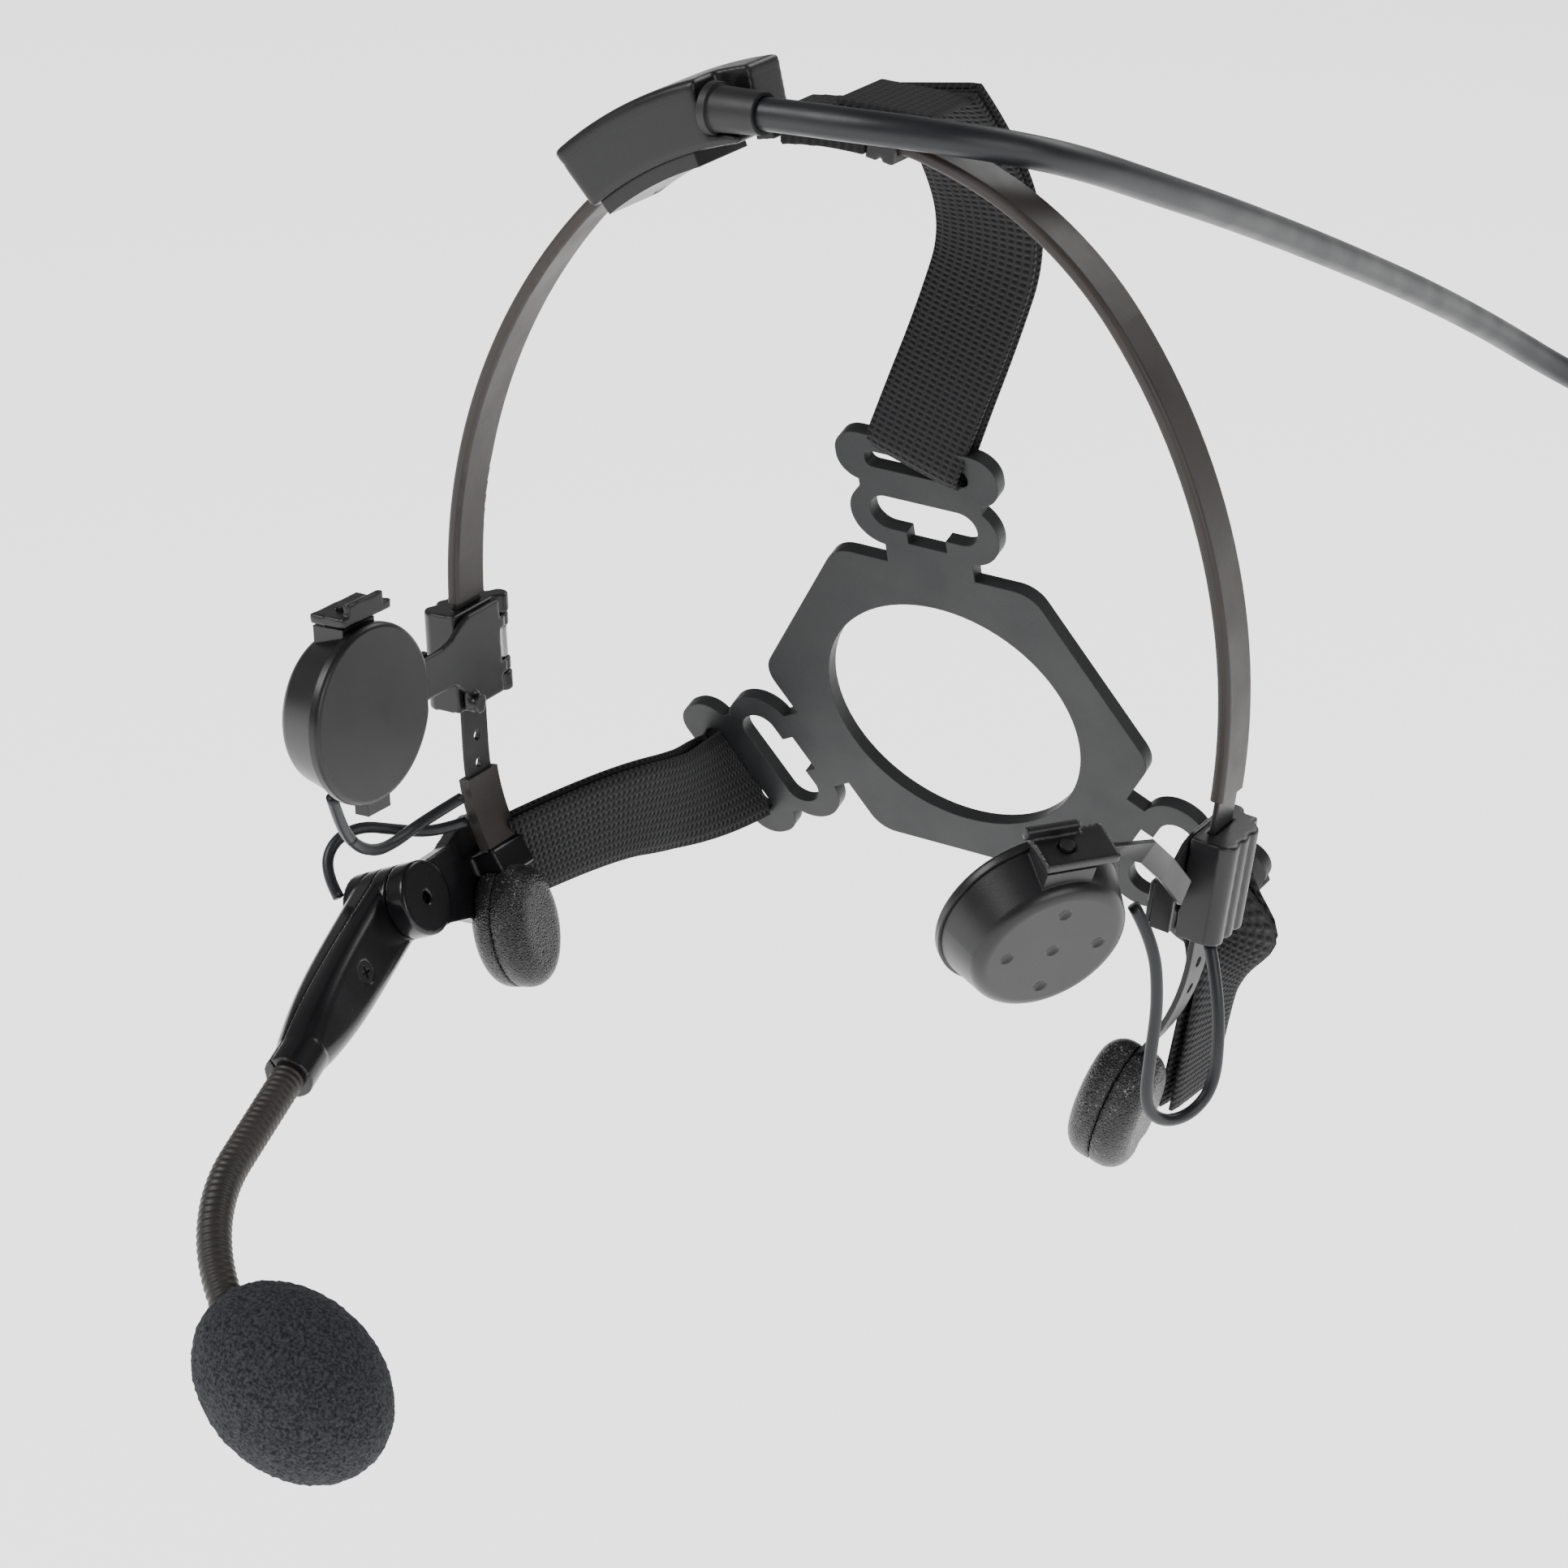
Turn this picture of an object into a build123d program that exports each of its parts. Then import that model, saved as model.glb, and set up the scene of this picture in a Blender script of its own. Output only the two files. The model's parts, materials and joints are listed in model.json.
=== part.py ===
from build123d import *
import math
import os

# Headset microphone, millimetres. The origin is the centre of the wearer's head,
# midway between the ears: +X is the wearer's left, +Y is backwards, +Z is up.
# The boom microphone hangs on the -X side. The headband arch lies in the plane Y = 0.

# Headband arch: tangent arcs of its centre line, from the apex down one side.
APEX_Z = 110.0
CROWN_RADIUS = 67.5
CROWN_ANGLE = 50.0
SIDE_RADIUS = 109.4
SIDE_ANGLE = 40.0
WAIST_RADIUS = 119.0
WAIST_ANGLE = 5.0
SLEEVE_WAIST_ANGLE = 4.0
STRIP_RUN = 28.3
FOOT_RADIUS = 40.6
FOOT_ANGLE = 36.6
FOOT_TAIL = 5.0
STRIP_WIDTH = 7.7
STRIP_THICKNESS = 1.0
STRIP_ROUNDING = 0.3
HOLE_DIAMETER = 2.0
HOLE_HEIGHTS = (-14.4, -19.8, -25.2, -30.6)
SLEEVE_WIDTH = 9.5
SLEEVE_THICKNESS = 2.4
SLEEVE_ROUNDING = 0.9

# Junction box on the crown, in degrees from the apex and offsets from the centre line.
BOX_ANGLES = (-44.5, -15.5)
BOX_FRONT_END = -20.5
BOX_Y = (-9.5, 9.0)
BOX_PLATE = (-4.2, -1.6)
BOX_SHELL = (-1.6, 8.0)
BOX_LID = (8.0, 10.4)
BOX_WALL = 1.6

# Sliding blocks on the strips, in the strip's own frame (x outward, y back, z up).
BLOCK_Z = (-13.0, 6.0)
BLOCK_Y = (-7.5, 5.6)
BLOCK_X = (-2.1, 3.6)
LOBE_RADIUS = 2.7
LOBE_Y = (-4.8, -0.9, 3.0)
PIN_AT = (-1.4, 8.0)
PIN_RADIUS = 0.8
LUG_RADIUS = 2.1
PLATE_X = (-3.5, -2.4)
KNUCKLE_LENGTH = 2.4
REACH = {"left": -24.0, "right": -19.0}
RIGHT_DROP = 5.0
FIT = 0.05

# Earphones: face centre, direction of the face, and up.
COVER_RADIUS = 16.5
COVER_THICKNESS = 2.0
SHELL_RADII = (16.0, 13.5)
SHELL_DEPTH = 9.0
SHELL_WALL = 1.4
EAR_FLAT = 15.2
EAR_PLANES = {
    "left": Plane(origin=(-67, -44, 1.5), x_dir=(0.05, 0.997, 0), z_dir=(0.997, -0.05, 0.09)),
    "right": Plane(
        origin=(59.6, -40.2, -2.2), x_dir=(-0.566, -0.823, 0), z_dir=(-0.764, 0.525, 0.374)
    ),
}
STUD_DEPTH = -5.5
STUD_RADIUS = 1.3

# Boom pivot, arm, gooseneck and windscreen.
PIVOT_FACE = Vector(-70, -22.3, -43.4)
PIVOT_AXIS = Vector(0.897, 0.034, 0.439).normalized()
BOOM_AXIS = Vector(0.170, -0.947, -0.271).normalized()
COLLAR_END = Vector(-67.9, -69.5, -59.9)
PIVOT_RADIUS = 7.15
KNUCKLE = (-14.6, -4.5)
SHELL_SPLIT = -8.0
BOOM_SECTIONS = ((0.0, 14.0, 9.4, 3.0), (0.35, 13.6, 9.2, 3.0), (0.7, 11.8, 9.5, 3.6), (0.88, 9.4, 9.4, 4.6))
GOOSENECK_RADIUS = 3.1
GOOSENECK_BENDS = ((38.0, 45.0), (20.0, 27.0))
GOOSENECK_RUN = 22.0
FOAM_LENGTH = 38.5
FOAM_RADIUS = 15.0

# Rear ring and its three strap slots.
RING_PLANE = Plane(origin=(0, 50.9, -14.4), x_dir=(-1, 0, 0), z_dir=(0, 0.934, 0.358))
RING_OPENING = 26.5
RING_APOTHEM = 35.5
RING_CORNER = 6.0
RING_THICKNESS = 2.8
SLOT_SIZE = (21.0, 3.6)
SLOT_AT = 59.5

# Temple pads.
PAD_CENTRE = (62.8, -3.0, -55.0)
PAD_LENGTH = 24.0
PAD_WIDTH = 17.0
PAD_HALF = 6.0

# Main cable, hank and plug.
CABLE_DIAMETER = 5.8
LEAD_DIAMETER = 2.2
CABLE_POINTS = [
    (-24.0, -7.6, 110.8), (-10.2, -9.4, 112.3), (3.9, -10.6, 113.4), (17.4, -7.8, 113.4),
    (28.6, 0.0, 111.6), (35.8, 12.4, 107.4), (39.7, 34.0, 98.8), (41.0, 62.0, 88.1),
    (41.5, 92.0, 76.3), (41.8, 122.0, 64.2), (42.3, 152.0, 51.8), (42.9, 180.0, 39.6),
    (44.0, 205.0, 28.0), (49.0, 232.0, 13.5), (62.5, 253.0, 0.5), (80.0, 262.5, -12.0),
    (92.0, 262.0, -29.5), (92.0, 262.0, -49.5),
]
HANK_CENTRE = (92.0, 262.0, -115.0)
HANK_SIZE = (41.0, 24.0, 131.0)
TAIL_LENGTH = 22.0
PLUG_RADIUS = 9.5
PLUG_LENGTH = 62.0
RELIEF_LENGTH = 11.0
RELIEF_RADII = (4.1, 3.7)
RELIEF_BORE = 2.96
LEFT_LEAD = [
    (-72.6, -49.4, -13.8), (-73.1, -45.8, -21.4), (-74.0, -39.4, -27.8), (-75.2, -31.4, -32.0),
    (-76.5, -23.4, -33.6), (-76.6, -14.8, -32.8), (-73.4, -6.2, -30.2),
]
RIGHT_LEAD = [
    (72.6, -25.2, -5.0), (76.2, -23.6, -11.5), (77.5, -22.8, -22.5), (77.0, -23.0, -33.0),
    (76.6, -23.0, -42.6), (78.6, -19.1, -47.0), (81.5, -13.5, -47.0), (83.5, -9.5, -42.6),
    (83.3, -8.8, -33.0), (81.2, -7.0, -24.5), (78.4, -4.8, -18.8),
]
MIC_LEAD = [
    (-83.0, -32.2, -43.2), (-87.0, -31.0, -39.4), (-87.9, -27.2, -35.0), (-85.2, -22.2, -33.0),
    (-81.0, -17.0, -34.6), (-76.4, -10.8, -36.4), (-72.6, -5.8, -35.0),
]


def save(name, *shapes):
    """Writes one node, as one solid or as a group of solids."""
    solids = [solid for shape in shapes for solid in shape.solids()]
    export_step(solids[0] if len(solids) == 1 else Compound(solids), f"parts/{name}.step")


def slab(x, y, z):
    """Box between three pairs of limits."""
    size = [high - low for low, high in (x, y, z)]
    middle = [(low + high) / 2 for low, high in (x, y, z)]
    return Pos(*middle) * Box(*size)


def rod(start, end, radius):
    """Cylinder between two points."""
    start, end = Vector(*start), Vector(*end)
    plane = Plane(origin=start, z_dir=end - start)
    return extrude(plane * Circle(radius), amount=(end - start).length)


def sector(centre, radii, angles, y):
    """Part of a flat ring in the plane of the arch, angles counted from +X towards +Z."""
    turn = angles[1] - angles[0]
    inner, outer = (CenterArc(centre, radius, angles[0], turn) for radius in radii)
    face = make_face([outer, inner, Line(inner @ 0, outer @ 0), Line(inner @ 1, outer @ 1)])
    plane = Plane(origin=(0, y[1], 0), x_dir=(1, 0, 0), z_dir=(0, -1, 0))
    return extrude(plane * face, amount=y[1] - y[0])


def crown_sector(offsets, angles, y):
    """Ring sector that follows the crown, angles counted from the apex towards +X."""
    radii = [CROWN_RADIUS + offset for offset in offsets]
    return sector((0, APEX_Z - CROWN_RADIUS), radii, (90 - angles[1], 90 - angles[0]), y)


def arch_curves(first_angle):
    """Centre line of one side of the arch, from an angle off the apex to the strip's end."""
    centre = (0, APEX_Z - CROWN_RADIUS)
    curves = [CenterArc(centre, CROWN_RADIUS, 90 - first_angle, first_angle - CROWN_ANGLE)]
    for radius, angle in ((SIDE_RADIUS, SIDE_ANGLE), (WAIST_RADIUS, WAIST_ANGLE)):
        curves.append(JernArc(curves[-1] @ 1, curves[-1] % 1, radius, -angle))
    curves.append(Line(curves[-1] @ 1, (curves[-1] @ 1) + (curves[-1] % 1) * STRIP_RUN))
    curves.append(JernArc(curves[-1] @ 1, curves[-1] % 1, FOOT_RADIUS, -FOOT_ANGLE))
    curves.append(Line(curves[-1] @ 1, (curves[-1] @ 1) + (curves[-1] % 1) * FOOT_TAIL))
    return curves


def sweep_arch(curves, width, thickness, rounding):
    """Rounded bar that follows part of the arch."""
    path = Plane.XZ * Wire([edge for curve in curves for edge in curve.edges()])
    start = Plane(origin=path @ 0, x_dir=(0, 1, 0), z_dir=path % 0)
    return sweep(start * RectangleRounded(width, thickness, rounding), path=path)


def sleeve_curves(first_angle):
    """The part of the arch that is covered in heat-shrink tube."""
    curves = arch_curves(first_angle)[:2]
    curves.append(JernArc(curves[-1] @ 1, curves[-1] % 1, WAIST_RADIUS, -SLEEVE_WAIST_ANGLE))
    return curves


def strip_bar():
    """The bare spring strip of the whole arch, without its holes."""
    right = sweep_arch(arch_curves(0), STRIP_WIDTH, STRIP_THICKNESS, STRIP_ROUNDING)
    return right + mirror(right, about=Plane.YZ)


def strip_frame(drop):
    """Frame on the right strip's centre line: x outward, y back, z up the strip."""
    start = arch_curves(0)[2] @ 1
    slope = math.radians(WAIST_ANGLE)
    up = Vector(math.sin(slope), 0, math.cos(slope))
    origin = Vector(start.X, 0, start.Y) - up * (start.Y / math.cos(slope) + drop)
    return Plane(origin=origin, x_dir=(math.cos(slope), 0, -math.sin(slope)), z_dir=up)


def ribbon(stations, widths, thicknesses):
    """Flat strap through stations of (point, width direction)."""
    points = [Vector(*point) for point, _ in stations]
    faces = []
    for index, (_, across) in enumerate(stations):
        before = points[max(index - 1, 0)]
        after = points[min(index + 1, len(points) - 1)]
        along = (after - before).normalized()
        across = Vector(*across)
        across = (across - along * across.dot(along)).normalized()
        plane = Plane(origin=points[index], x_dir=across, z_dir=along)
        faces.append(plane * Rectangle(widths[index], thicknesses[index]))
    return loft(faces, ruled=True)


def cord(points, diameter, name):
    """Round cord: straight runs joined by arcs as large as the runs allow."""
    points = [Vector(*point) for point in points]
    radii = []
    for before, corner, after in zip(points, points[1:], points[2:]):
        turn = math.radians((corner - before).get_angle(after - corner))
        shorter = min((corner - before).length, (after - corner).length)
        radii.append(0.45 * shorter / math.tan(turn / 2))
    path = FilletPolyline(*points, radius=radii)
    tube = sweep(Plane(origin=path @ 0, z_dir=path % 0) * Circle(diameter / 2), path=path)
    share = tube.volume / (math.pi * diameter**2 / 4 * path.length)
    print(f"{name} length {path.length:.1f} least radius {min(radii):.1f} volume share {share:.4f}")
    return tube


# Headband arch

def make_arch():
    strip = strip_bar()
    holes = [rod((-90, 0, z), (90, 0, z), HOLE_DIAMETER / 2) for z in HOLE_HEIGHTS]
    save("band_core", strip - holes)
    sleeve_section = (SLEEVE_WIDTH, SLEEVE_THICKNESS, SLEEVE_ROUNDING)
    left = mirror(sweep_arch(sleeve_curves(-BOX_ANGLES[0]), *sleeve_section), about=Plane.YZ)
    save("heat_shrink_left", left - strip)
    right = sweep_arch(sleeve_curves(0), *sleeve_section)
    over_apex = CenterArc((0, APEX_Z - CROWN_RADIUS), CROWN_RADIUS, 90, -BOX_ANGLES[1])
    stub = sweep_arch([over_apex], *sleeve_section)
    save("heat_shrink_right", right + stub - strip)


# Junction box on the crown

def make_junction_box():
    strip = strip_bar()
    front_cut = crown_sector((2.2, 20), (BOX_FRONT_END, 0), (-20, -2.0))
    outer = crown_sector(BOX_SHELL, BOX_ANGLES, BOX_Y)
    outer = fillet(outer.edges().filter_by(Axis.Y).group_by(Axis.X)[0], 1.2)
    hollow_angles = (BOX_ANGLES[0] + 2, BOX_ANGLES[1] - 2)
    hollow_y = (BOX_Y[0] + BOX_WALL, BOX_Y[1] - BOX_WALL)
    hollow = crown_sector((0.6, BOX_SHELL[1] + 1), hollow_angles, hollow_y)
    hollow -= crown_sector((0, 20), (BOX_FRONT_END - 2, 0), (-20, -0.4))
    relief = relief_body()
    mouth = rod(CABLE_POINTS[0], CABLE_POINTS[1], 4.1)
    shell = outer - hollow - front_cut - strip - mouth - relief
    save("junction_box_body", shell)
    lid = crown_sector(BOX_LID, BOX_ANGLES, BOX_Y)
    lid = fillet(lid.edges().group_by(SortBy.LENGTH)[-1].sort_by(Axis.Z)[-2:], 1.4)
    save("junction_box_lid", lid - front_cut - relief - mouth)
    plate = crown_sector(BOX_PLATE, (BOX_ANGLES[0] + 1.5, -24.0), (BOX_Y[0] + 1.0, BOX_Y[1] - 1.0))
    heads = [screw_in_plate(angle) for angle in (-41.0, -29.0)]
    save("junction_box_plate", plate - heads - strip)
    save("junction_box_screws", *heads)
    save("terminal_board", crown_sector((3.2, 4.4), (-42.0, -25.0), (-6.4, 6.4)))
    save("strain_relief", relief)


def screw_in_plate(angle):
    """Countersunk cross-head screw whose head is flush with the underside of the plate."""
    centre = Vector(0, 0, APEX_Z - CROWN_RADIUS)
    outward = Vector(math.sin(math.radians(angle)), 0, math.cos(math.radians(angle)))
    foot = centre + outward * (CROWN_RADIUS + BOX_PLATE[0]) + Vector(0, 5.9, 0)
    plane = Plane(origin=foot, x_dir=(0, 1, 0), z_dir=outward)
    head = loft([plane * Circle(1.9), plane.offset(1.2) * Circle(0.8)])
    shank = extrude(plane.offset(1.2) * Circle(0.8), amount=BOX_PLATE[1] - BOX_PLATE[0] - 1.2)
    cross = extrude(plane * (Rectangle(2.2, 0.5) + Rectangle(0.5, 2.2)), amount=0.6)
    return head + shank - cross


def relief_body():
    """Tapered rubber sleeve round the cable where it leaves the junction box."""
    plane = Plane(origin=CABLE_POINTS[0], z_dir=Vector(*CABLE_POINTS[1]) - Vector(*CABLE_POINTS[0]))
    taper = loft([plane * Circle(RELIEF_RADII[0]), plane.offset(RELIEF_LENGTH) * Circle(RELIEF_RADII[1])])
    flange = extrude(plane * Circle(RELIEF_RADII[0] + 0.5), amount=1.6)
    bore = extrude(plane * Circle(RELIEF_BORE), amount=RELIEF_LENGTH)
    return taper + flange - bore


# Webbing wrap, keeper and collar on the crown

def make_crown_fittings():
    half = SLEEVE_WIDTH / 2
    sleeve_void = (-SLEEVE_THICKNESS / 2, SLEEVE_THICKNESS / 2)
    void = crown_sector(sleeve_void, (-20, 20), (-half, half))
    wrap = crown_sector((-2.7, 3.4), (-10.2, 3.8), (-6.0, 6.0)) - void
    tab = slab((-4.0, 14.0), (-1.0, 15.0), (113.2, 114.6))
    save("strap_wrap", wrap + tab)
    keeper = crown_sector((-2.9, 3.0), (4.2, 8.8), (-6.1, 6.1)) - void
    grooves = [crown_sector(offsets, (6.1, 6.9), (-7, 7)) for offsets in ((2.2, 4.0), (-4.0, -2.2))]
    save("strap_keeper", keeper - grooves)
    collar = crown_sector((-1.9, 1.9), (-14.6, -11.4), (-5.4, 5.4)) - void
    save("rubber_collar", collar - relief_body())
    return wrap + tab


# Rear ring with three strap slots

def ring_outline():
    """Face of the ring: a rounded hexagon with a round opening and three slotted lugs."""
    body = RegularPolygon(RING_APOTHEM, 6, major_radius=False)
    body = fillet(body.vertices(), RING_CORNER)
    lug = Pos(0, 46.5) * RectangleRounded(30.5, 14, 6.9) + Pos(0, 36) * Rectangle(18, 10)
    lug += Pos(0, 53) * Rectangle(25, 8) + Pos(0, SLOT_AT) * RectangleRounded(33, 11, 5)
    hole = Pos(0, 47.5) * RectangleRounded(22, 7.6, 3.7) + Pos(0, 43.5) * Rectangle(8, 5)
    slot = Pos(0, SLOT_AT) * RectangleRounded(SLOT_SIZE[0], SLOT_SIZE[1], 1.6)
    for angle in (0, 120, 240):
        body += Rot(0, 0, angle) * lug
    for angle in (0, 120, 240):
        body -= Rot(0, 0, angle) * (hole + slot)
    return body - Circle(RING_OPENING)


def make_ring():
    ring = RING_PLANE * extrude(ring_outline(), amount=RING_THICKNESS / 2, both=True)
    save("rear_ring", ring)
    return ring


def make_straps(ring, bracket, wrap):
    strip = strip_bar()
    across = (1, 0, 0)
    top = [
        ((5.5, 15.6, 114.0), across), ((9.0, 24.0, 103.0), across), ((11.5, 31.5, 85.5), across),
        ((7.0, 31.5, 68.5), across), ((2.5, 29.5, 52.5), across), ((0.0, 29.6, 39.5), across),
    ]
    strap = ribbon(top, (18, 19, 20, 20, 19.4, 19.4), (1.8, 3, 3, 3, 3.2, 3.2))
    save("top_strap", biggest(strap - ring - wrap))
    left = [
        ((-69.3, 6.5, -46.0), (0.2, 0, 1)), ((-58.5, 22.0, -40.0), (0.1, 0, 1)),
        ((-53.0, 43.0, -43.5), (0, -0.1, 1)), ((-51.2, 60.6, -45.6), (-0.45, -0.31, 0.84)),
    ]
    strap = ribbon(left, (10.5, 18, 19.4, 19.4), (2.4, 3, 3.2, 3.2))
    save("left_strap", biggest(biggest(strap - bracket) - ring))
    right = [
        ((50.6, 60.8, -44.6), (0.4, -0.31, 0.82)), ((58.0, 46.0, -31.0), (0.1, -0.2, 0.97)),
        ((66.0, 31.0, -24.0), (0, 0.25, 0.97)), ((70.0, 21.0, -31.0), (0, 0.8, 0.6)),
        ((70.5, 14.6, -43.0), (0, 1, 0.1)), ((69.0, 13.4, -58.0), (0, 1, 0)),
    ]
    strap = ribbon(right, (19.4, 20, 20, 20, 19, 17), (3.2, 3.4, 3, 3, 3, 2.4))
    save("right_strap", biggest(strap - ring - strip))


# Lower left: sleeve, boom bracket and pads

def pivot_plane():
    """Frame at the centre of the pivot disc's face: x forward, y down, z along the axis."""
    forward = PIVOT_AXIS.cross(Vector(0, 0, 1)).normalized()
    forward = forward if forward.Y < 0 else forward * -1
    return Plane(origin=PIVOT_FACE, x_dir=forward, z_dir=PIVOT_AXIS)


def foot_sector(offsets, angles, y, side):
    """Ring sector that follows the strip's foot bend, angles below the horizontal."""
    centre = arch_curves(0)[4].arc_center
    radii = [FOOT_RADIUS + offset for offset in offsets]
    if side > 0:
        return sector((centre.X, centre.Y), radii, (-angles[1], -angles[0]), y)
    return sector((-centre.X, centre.Y), radii, (180 + angles[0], 180 + angles[1]), y)


def make_boom_bracket():
    strip = strip_bar()
    half = SLEEVE_WIDTH / 2
    sleeve = foot_sector((-1.2, 1.2), (11.0, 31.0), (-half, half), -1) - strip
    save("boom_sleeve", sleeve)
    plane = pivot_plane()
    disc = extrude(plane.offset(-4.3) * Circle(PIVOT_RADIUS), amount=4.3)
    disc = fillet(disc.edges().sort_by(Axis.X)[-1], 0.6)
    outline = Polyline(
        (3, -6.3), (-6, -5.8), (-12, -5.8), (-17.5, -7.6), (-23.5, -8.5), (-25, 12),
        (-18, 12.5), (-11, 8.5), (-5, 7.0), (3, 6.5), close=True,
    )
    web = extrude(plane.offset(-4.3) * make_face(outline), amount=3.6)
    post = foot_sector((0.5, 6.4), (31.6, 47.0), (-4.4, 5.0), -1)
    wall = foot_sector((-1.6, -0.5), (31.6, 40.0), (-4.4, 5.0), -1)
    cheeks = [foot_sector((-1.6, 6.4), (31.6, 40.0), limits, -1) for limits in ((-4.9, -3.9), (3.9, 4.9))]
    bracket = disc + web + post + wall + cheeks - strip
    head = extrude(plane.offset(-4.3) * Circle(2.6), amount=2.8)
    shank = extrude(plane.offset(-13.0) * Circle(1.5), amount=8.7)
    socket = extrude(plane.offset(-4.3) * RegularPolygon(1.3, 6), amount=4.4)
    bracket -= head + socket
    save("boom_bracket", bracket)
    recess = extrude(plane.offset(-2.7) * RegularPolygon(1.2, 6), amount=1.2)
    save("boom_pivot_screw", head + shank - recess)
    return bracket


def pad_plane():
    """Frame at a right-hand pad's centre: x backwards, y up along the pad, z outward."""
    return Plane(origin=PAD_CENTRE, x_dir=(0, 1, 0), z_dir=(0.966, 0, -0.26))


def pad_half(direction):
    """One half of a temple pad, domed away from the parting plane."""
    plane = pad_plane()
    face = plane * Ellipse(PAD_WIDTH / 2, PAD_LENGTH / 2)
    half = extrude(face, amount=direction * PAD_HALF)
    far = half.faces().sort_by(Axis((0, 0, 0), tuple(plane.z_dir * direction)))[-1]
    return fillet(far.edges(), 4.2)


def make_pads(bracket):
    strip = strip_bar()
    notch = slab((66, 76), (-1.2, 1.2), (-66.5, -62))
    for name, direction in (("inner", -1), ("outer", 1)):
        half = pad_half(direction)
        save(f"left_pad_{name}", biggest(mirror(half, about=Plane.YZ) - strip - bracket))
        save(f"right_pad_{name}", biggest(half - strip - notch))


def biggest(shape):
    return shape.solids().sort_by(SortBy.VOLUME)[-1]


# Boom arm, gooseneck, capsule and windscreen

def boom_screw_tools(plane):
    """The cover screw and the hole it sits in, in a plane square to the pivot axis."""
    shank = extrude(plane * Circle(1.1), amount=6.0)
    head = extrude(plane.offset(6.0) * Circle(2.1), amount=1.0)
    cross = extrude(plane.offset(6.5) * (Rectangle(2.4, 0.6) + Rectangle(0.6, 2.4)), amount=1)
    hole = extrude(plane * Circle(1.1), amount=9) + extrude(plane.offset(6.0) * Circle(2.1), amount=4)
    return shank + head - cross, hole


def make_boom():
    plane = pivot_plane()
    knuckle = extrude(plane.offset(KNUCKLE[0]) * Circle(PIVOT_RADIUS), amount=KNUCKLE[1] - KNUCKLE[0])
    groove = extrude(plane.offset(-11.5) * (Circle(9) - Circle(6.6)), amount=0.6)
    start = PIVOT_FACE + PIVOT_AXIS * ((KNUCKLE[0] + KNUCKLE[1]) / 2)
    run = COLLAR_END - start
    across = BOOM_AXIS.cross(PIVOT_AXIS)
    sections = []
    for share, width, height, corner in BOOM_SECTIONS:
        middle = Plane(origin=start + run * share, x_dir=across, z_dir=BOOM_AXIS)
        sections.append(middle * RectangleRounded(width, height, corner))
    collar = rod(COLLAR_END - BOOM_AXIS * 7.0, COLLAR_END, 4.65)
    bore = extrude(plane.offset(-20) * Circle(1.5 + FIT), amount=30)
    screw_at = start + run * 0.42 - PIVOT_AXIS * 2.5
    screw, hole = boom_screw_tools(Plane(origin=screw_at, z_dir=PIVOT_AXIS))
    body = knuckle - groove + loft(sections) + collar - bore - hole
    split = extrude(plane.offset(SHELL_SPLIT) * Rectangle(200, 200), amount=60)
    save("boom_shell_inner", biggest(body & split))
    save("boom_shell_outer", biggest(body - split))
    save("boom_screw", screw)


def gooseneck_plane():
    """Frame of the gooseneck's bend: x along the boom, y towards the mouth."""
    inward = Vector(0.8486, 0.2807, -0.4485)
    inward = (inward - BOOM_AXIS * inward.dot(BOOM_AXIS)).normalized()
    return Plane(origin=COLLAR_END, x_dir=BOOM_AXIS, z_dir=BOOM_AXIS.cross(inward))


def make_gooseneck():
    curves = [Line((0, 0), (GOOSENECK_RUN, 0))]
    for radius, angle in GOOSENECK_BENDS:
        curves.append(JernArc(curves[-1] @ 1, curves[-1] % 1, radius, angle))
    path = gooseneck_plane() * Wire([edge for curve in curves for edge in curve.edges()])
    neck = sweep(Plane(origin=path @ 0, z_dir=path % 0) * Circle(GOOSENECK_RADIUS), path=path)
    end, along = path @ 1, path % 1
    capsule = rod(end, end + along * 9.0, 4.0)
    foam_start = end + along * (9.5 - FOAM_LENGTH / 2)
    foam_plane = Plane(origin=foam_start, x_dir=gooseneck_plane().z_dir, z_dir=along)
    profile = EllipticalCenterArc((0, FOAM_LENGTH / 2), FOAM_RADIUS, FOAM_LENGTH / 2, -90, arc_size=180)
    half = make_face([profile, Line(profile @ 1, profile @ 0)])
    foam = foam_plane * revolve(Plane.XZ * half, axis=Axis.Z)
    save("gooseneck", neck)
    save("mic_capsule", capsule)
    save("windscreen", foam - neck - capsule)


# Sliding blocks, hinged arms and earphones

def side_place(side):
    """Carries a piece from the strip frame of one side to its place."""
    frame = strip_frame(RIGHT_DROP if side == "right" else 0.0)
    if side == "right":
        return lambda piece: frame * piece
    return lambda piece: mirror(frame * piece, about=Plane.YZ)


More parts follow.
